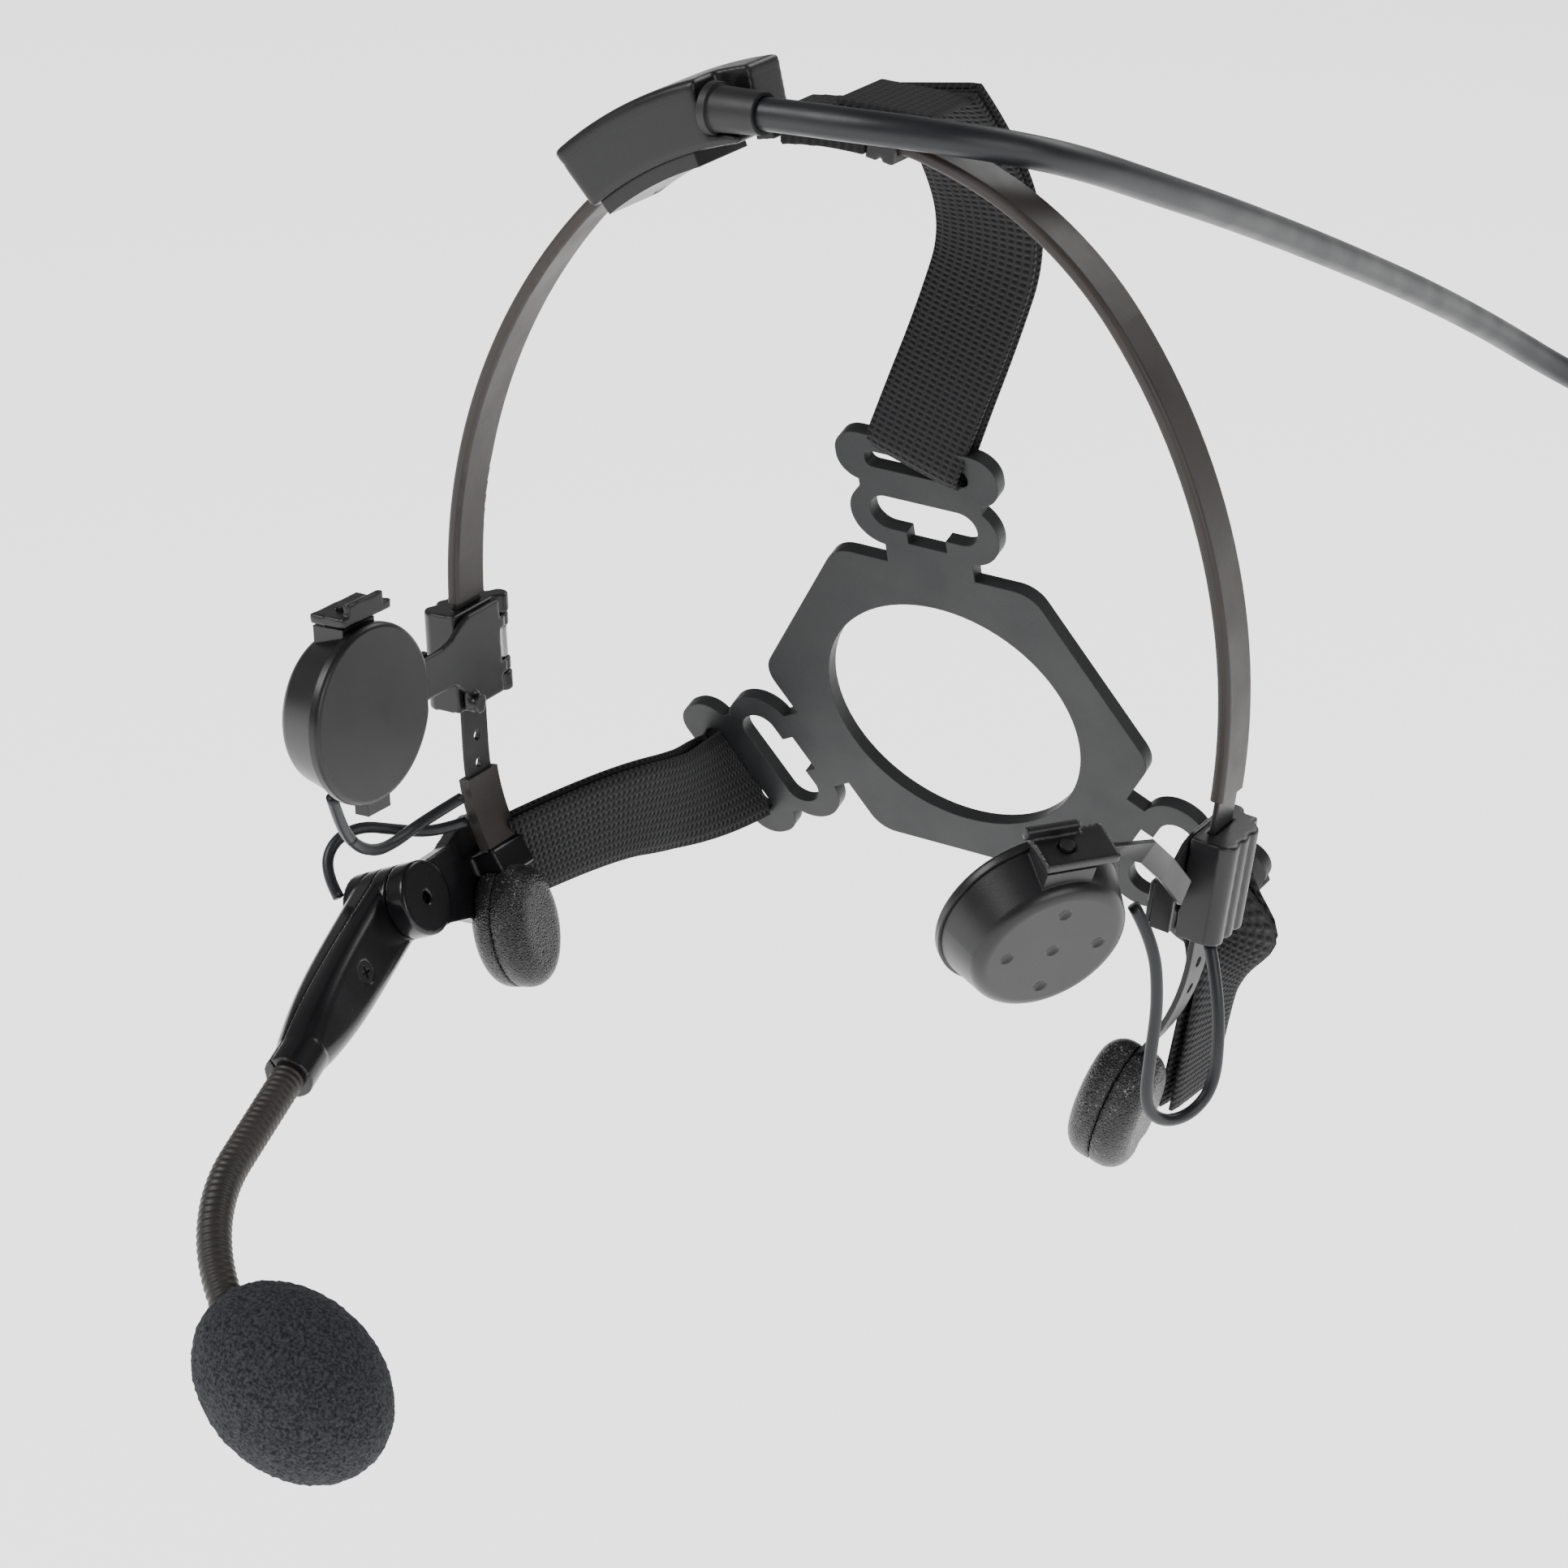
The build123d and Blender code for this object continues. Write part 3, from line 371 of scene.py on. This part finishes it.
def spline_curve(name, points, diameter):
    """Round NURBS cord whose control points are the route."""
    data = bpy.data.curves.new(name, "CURVE")
    data.dimensions = "3D"
    data.bevel_depth = diameter / 2
    data.bevel_resolution = 5
    data.resolution_u = 10
    data.use_fill_caps = True
    spline = data.splines.new("NURBS")
    spline.points.add(len(points) - 1)
    for point, place in zip(spline.points, points):
        point.co = (*place, 1.0)
    spline.order_u = 3
    spline.use_endpoint_u = True
    piece = bpy.data.objects.new(name, data)
    bpy.context.collection.objects.link(piece)
    return piece


def route_line(points):
    """Points along the smooth line of a route, read from its spline."""
    guide = spline_curve("guide", points, 0.001)
    guide.data.bevel_depth = 0.0
    bpy.context.view_layer.update()
    line = bpy.data.meshes.new_from_object(guide)
    places = [vertex.co.copy() for vertex in line.vertices]
    bpy.data.objects.remove(guide)
    bpy.data.meshes.remove(line)
    return places


def line_length(places):
    return sum((b - a).length for a, b in zip(places, places[1:]))


def tube(name, places, radii, sides=16):
    """Closed mesh tube along a line, with one radius for each place."""
    normal = None
    vertices, faces = [], []
    for index, place in enumerate(places):
        along = places[min(index + 1, len(places) - 1)] - places[max(index - 1, 0)]
        along.normalize()
        if normal is None:
            normal = along.orthogonal().normalized()
        normal = (normal - along * normal.dot(along)).normalized()
        other = along.cross(normal)
        for side in range(sides):
            angle = math.tau * side / sides
            offset = normal * math.cos(angle) + other * math.sin(angle)
            vertices.append(place + offset * radii[index])
    for row in range(len(places) - 1):
        for side in range(sides):
            step = (side + 1) % sides
            near = row * sides
            far = near + sides
            faces.append((near + side, near + step, far + step, far + side))
    faces.append(tuple(reversed(range(sides))))
    faces.append(tuple(range((len(places) - 1) * sides, len(places) * sides)))
    return mesh_piece(name, vertices, faces)


def coil_points():
    """Route of the stored cable: long loops wound one behind another, then down to the plug."""
    centre, half, run = COIL_CENTRE, COIL_HALF_WIDTH, COIL_HALF_RUN
    front = centre.y - COIL_PITCH * (COIL_TURNS - 1) / 2
    end = COIL_END_RISE
    shape = [
        (half, run), (half, 0.0), (half, -run), (half * 0.95, -run - end * 0.55),
        (half * 0.5, -run - end), (-half * 0.5, -run - end), (-half * 0.95, -run - end * 0.55),
        (-half, -run), (-half, 0.0), (-half, run), (-half * 0.95, run + end * 0.55),
        (-half * 0.5, run + end), (half * 0.5, run + end), (half * 0.95, run + end * 0.55),
    ]
    points = [(centre.x + half * 0.1, front, centre.z + run + end * 0.98)]
    points.append((centre.x + half * 0.85, front, centre.z + run + end * 0.62))
    count = len(shape)
    for turn in range(COIL_TURNS):
        last = turn == COIL_TURNS - 1
        for index, (across, up) in enumerate(shape[:4] if last else shape):
            y = front + COIL_PITCH * (turn + max(0.0, index - 8) / (count - 8))
            points.append((centre.x + across, y, centre.z + up))
    back = front + COIL_PITCH * (COIL_TURNS - 1)
    bottom = centre.z - TAIL_DROP
    points.append((centre.x + half * 0.3, back + 0.0005, bottom + 0.002))
    points.append((centre.x, centre.y + 0.004, bottom - 0.011))
    points.append((centre.x, centre.y, bottom - 0.019))
    points.append((centre.x, centre.y, bottom - 0.0225))
    return points


def make_cords():
    route = CABLE_ROUTE + coil_points()
    cable = spline_curve("cable", route, CABLE_DIAMETER)
    cable.data.materials.append(MATERIALS["cable_rubber"])
    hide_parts("main_cable", "cable_hank", "cable_tail")
    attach(cable, "root")
    length = line_length(route_line(route))


def make_lead(name, points, spans, node):
    """Thin lead as one tube piece for each span of (body, next body, where the span ends, where it has
    fully changed over).
    """
    places = route_line(points)
    steps = len(places) - 1
    pieces, parts, first_step = [], [], 0
    for index, (body, next_body, span_end, settled) in enumerate(spans):
        last_step = round(span_end * steps)
        part = places[first_step:last_step + 1]
        piece = tube(f"{name}_{index}", part, [LEAD_DIAMETER / 2] * len(part), 12)
        finish_piece(piece, "cable_rubber", None, *([] if index else [node]))
        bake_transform(piece)
        pieces.append(piece)
        parts.append(part)
        first_step = last_step
    longest = max(parts, key=line_length)
    piece = pieces[parts.index(longest)]


def make_leads():
    make_lead("right_lead", RIGHT_LEAD, [("right_arm", "right_slider", 1.0, 1.0)], "right_ear_lead")
    make_lead("boom_lead", MIC_LEAD, [("boom", "root", 1.0, 1.0)], "mic_lead")
    left_spans = [("left_arm", "left_slider", 0.22, 0.22), ("left_slider", "root", 1.0, 0.6)]
    make_lead("left_lead", LEFT_LEAD, left_spans, "left_ear_lead")


# Straps, foam and gooseneck

def strap_piece(name, stations, turn_at_start, node):
    """Webbing that runs from its anchor, round the ring's bar and back as a second layer."""
    rows = stations[::-1] if turn_at_start else stations
    centre = route_line([p for p, _ in rows])
    count = len(centre)
    acrosses = []
    for index in range(count):
        share = index / (count - 1) * (len(rows) - 1)
        low = min(int(share), len(rows) - 2)
        across = Vector(rows[low][1]).lerp(Vector(rows[low + 1][1]), share - low)
        acrosses.append(across)
    gaps = [WEB_GAP + WEB_GAP_GROWTH * (index / (count - 1)) ** 3 for index in range(count)]
    path, frames = [], []
    for index in range(count):
        along = (centre[min(index + 1, count - 1)] - centre[max(index - 1, 0)]).normalized()
        across = (acrosses[index] - along * acrosses[index].dot(along)).normalized()
        frames.append((along, across, along.cross(across)))
    for index in range(count):
        along, across, normal = frames[index]
        path.append((centre[index] + normal * gaps[index], across))
    along, across, normal = frames[-1]
    for step in range(1, WEB_TURN_STEPS):
        angle = math.pi * step / WEB_TURN_STEPS
        offset = normal * math.cos(angle) + along * math.sin(angle)
        path.append((centre[-1] + offset * gaps[-1], across))
    for index in reversed(range(count)):
        along, across, normal = frames[index]
        path.append((centre[index] - normal * gaps[index], across))
    return web_sheet(name, path, node)


def web_sheet(name, path, node):
    """Thin closed sheet along a path of (place, across), with a weave UV map in metres."""
    columns = WEB_COLUMNS
    vertices, faces, uvs = [], [], []
    run = 0.0
    half = WEB_THICKNESS / 2
    for index, (place, across) in enumerate(path):
        if index:
            run += (place - path[index - 1][0]).length
        along = path[min(index + 1, len(path) - 1)][0] - path[max(index - 1, 0)][0]
        normal = along.normalized().cross(across).normalized()
        for column in range(columns + 1):
            offset = (column / columns - 0.5) * WEB_WIDTH
            edge = WEB_EDGE_SHARE if column in (0, columns) else 1.0
            for sign in (1, -1):
                vertices.append(place + across * offset + normal * sign * half * edge)
                uvs.append((offset, run))
    stride = 2 * (columns + 1)
    for row in range(len(path) - 1):
        for column in range(columns):
            a = row * stride + column * 2
            b = a + stride
            faces.append((a, a + 2, b + 2, b))
            faces.append((a + 1, b + 1, b + 3, a + 3))
        first = row * stride
        faces.append((first, first + stride, first + stride + 1, first + 1))
        end = first + 2 * columns
        faces.append((end, end + 1, end + stride + 1, end + stride))
    for base in (0, (len(path) - 1) * stride):
        for column in range(columns):
            a = base + column * 2
            quad = (a, a + 1, a + 3, a + 2)
            faces.append(quad if base == 0 else tuple(reversed(quad)))
    sheet = mesh_piece(name, vertices, faces)
    layer = sheet.data.uv_layers.new(name="weave")
    for loop in sheet.data.loops:
        layer.data[loop.index].uv = uvs[loop.vertex_index]
    finish_piece(sheet, "webbing", "root", node)
    return sheet


def make_straps():
    strap_piece("strap_top", TOP_STRAP, False, "top_strap")
    strap_piece("strap_left", LEFT_STRAP, False, "left_strap")
    strap_piece("strap_right", RIGHT_STRAP, True, "right_strap")


def soft_copy(node, slot, body, voxel, rounds):
    """Copy of a CAD node's mesh with an even mesh and softly rounded edges."""
    piece = bpy.data.objects.new(node + "_soft", frame["nodes"][node].data.copy())
    bpy.context.collection.objects.link(piece)
    remesh = piece.modifiers.new("even", "REMESH")
    remesh.mode = "VOXEL"
    remesh.voxel_size = voxel
    remesh.use_smooth_shade = True
    rounding = piece.modifiers.new("rounding", "SMOOTH")
    rounding.factor = 0.5
    rounding.iterations = rounds
    return finish_piece(piece, slot, body, node)


def make_foam():
    """Egg-shaped foam with a pitted skin."""
    piece = soft_copy("windscreen", "foam", "boom", voxel=0.0006, rounds=2)
    pits = bpy.data.textures.new("pits", "CLOUDS")
    pits.noise_scale = 0.0011
    pits.noise_depth = 2
    displace = piece.modifiers.new("pits", "DISPLACE")
    displace.texture = pits
    displace.strength = 0.0007
    displace.mid_level = 0.6


def make_box_shell():
    """Junction box body and lid as one moulding with rounded corners; its material draws the joint."""
    shell = soft_copy("junction_box_body", "box_shell", "root", voxel=0.0004, rounds=16)
    lid = frame["nodes"]["junction_box_lid"].data
    start = len(shell.data.vertices)
    vertices = [v.co for v in shell.data.vertices] + [v.co for v in lid.vertices]
    faces = [tuple(f.vertices) for f in shell.data.polygons]
    faces += [tuple(i + start for i in f.vertices) for f in lid.polygons]
    mesh = bpy.data.meshes.new("box_shell")
    mesh.from_pydata([tuple(v) for v in vertices], [], faces)
    mesh.materials.append(MATERIALS["box_shell"])
    shell.data = mesh
    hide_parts("junction_box_lid")


def make_soft_parts():
    """Moulded parts and pads with rounded edges instead of the CAD's sharp ones."""
    make_box_shell()
    for node in ("boom_bracket", "rubber_collar", "strap_keeper"):
        soft_copy(node, SLOTS[node], "root", voxel=0.0003, rounds=3)
    soft_copy("strap_wrap", "webbing_wrap", "root", voxel=0.00035, rounds=2)
    for node in ("boom_shell_inner", "boom_shell_outer"):
        soft_copy(node, "boom_black", "boom", voxel=0.0003, rounds=1)
    for side in ("left", "right"):
        block, slider, arm = f"{side}_slider_block", f"{side}_slider", f"{side}_arm"
        soft_copy(block, "moulded_black", slider, voxel=0.0003, rounds=6)
        for node in ("arm_plate", "ear_clip"):
            soft_copy(f"{side}_{node}", "moulded_black", arm, voxel=0.0003, rounds=3)
        for half in ("inner", "outer"):
            pad = soft_copy(f"{side}_pad_{half}", "leather_pad", "root", voxel=0.0004, rounds=8)


def gooseneck_line():
    """Centre line of the gooseneck: a straight run and two bends towards the mouth."""
    along = Vector(NECK_DIRECTION).normalized()
    inward = Vector(NECK_INWARD)
    inward = (inward - along * inward.dot(along)).normalized()
    place = Vector(NECK_START)
    places = [place.copy()]
    heading = 0.0
    runs = [(NECK_STRAIGHT, 0.0)]
    runs += [(radius * math.radians(angle), math.radians(angle)) for radius, angle in NECK_BENDS]
    for length, turn in runs:
        count = round(length / NECK_STEP)
        for _ in range(count):
            heading += turn / count / 2
            facing = along * math.cos(heading) + inward * math.sin(heading)
            place = place + facing * (length / count)
            heading += turn / count / 2
            places.append(place.copy())
    return places


def make_gooseneck():
    """Flexible neck with fine ribs."""
    places = gooseneck_line()
    waves = [math.cos(math.tau * index / NECK_STEPS_PER_RIB) for index in range(len(places))]
    radii = [NECK_RADIUS + NECK_RIB_HEIGHT * height for height in waves]
    neck = tube("ribbed_neck", places, radii, 28)
    finish_piece(neck, "gooseneck_jacket", "boom", "gooseneck")


def dress_nodes():
    """Gives every CAD node the material of its slot."""
    for name, node in frame["nodes"].items():
        node.data.materials.clear()
        node.data.materials.append(MATERIALS[SLOTS[name]])


# Camera, light and floor

def make_camera():
    data = bpy.data.cameras.new("camera")
    data.lens = CAMERA_LENS
    data.sensor_width = CAMERA_SENSOR
    data.clip_end = 60.0
    camera = bpy.data.objects.new("camera", data)
    bpy.context.collection.objects.link(camera)
    turn = Matrix.Rotation(math.radians(CAMERA_AZIMUTH), 4, "Z")
    tilt = Matrix.Rotation(math.radians(90.0 - CAMERA_ELEVATION), 4, "X")
    roll = Matrix.Rotation(math.radians(CAMERA_ROLL), 4, "Z")
    camera.matrix_world = Matrix.Translation(CAMERA_PLACE) @ turn @ tilt @ roll
    bpy.context.scene.camera = camera


def backdrop_material():
    """Pale floor with a little glow of its own, which keeps it even."""
    material, _, shader = new_material("backdrop", (0.95, 0.95, 0.95), 0.9)
    shader.inputs["Emission Color"].default_value = (1, 1, 1, 1)
    shader.inputs["Emission Strength"].default_value = FLOOR_GLOW
    return material


def area_light(name, place, size, power):
    """Soft rectangular light aimed at the headset."""
    data = bpy.data.lights.new(name, "AREA")
    data.shape = "RECTANGLE"
    data.size, data.size_y = size
    data.energy = power
    light = bpy.data.objects.new(name, data)
    bpy.context.collection.objects.link(light)
    light.location = place
    light.rotation_euler = (-Vector(place)).to_track_quat("-Z", "Y").to_euler()


def make_studio():
    world = bpy.data.worlds.new("studio")
    world.use_nodes = True
    background = world.node_tree.nodes["Background"]
    background.inputs["Color"].default_value = (1, 1, 1, 1)
    background.inputs["Strength"].default_value = WORLD_STRENGTH
    bpy.context.scene.world = world
    corners = [(-1, -1), (1, -1), (1, 1), (-1, 1)]
    vertices = [(x * FLOOR_HALF_SIZE, y * FLOOR_HALF_SIZE, FLOOR_Z) for x, y in corners]
    floor = mesh_piece("floor", vertices, [(0, 1, 2, 3)])
    floor.data.materials.append(backdrop_material())
    for light in LIGHTS:
        area_light(*light)


make_camera()
make_studio()
dress_nodes()
make_cords()
make_leads()
make_straps()
make_foam()
make_gooseneck()
make_soft_parts()
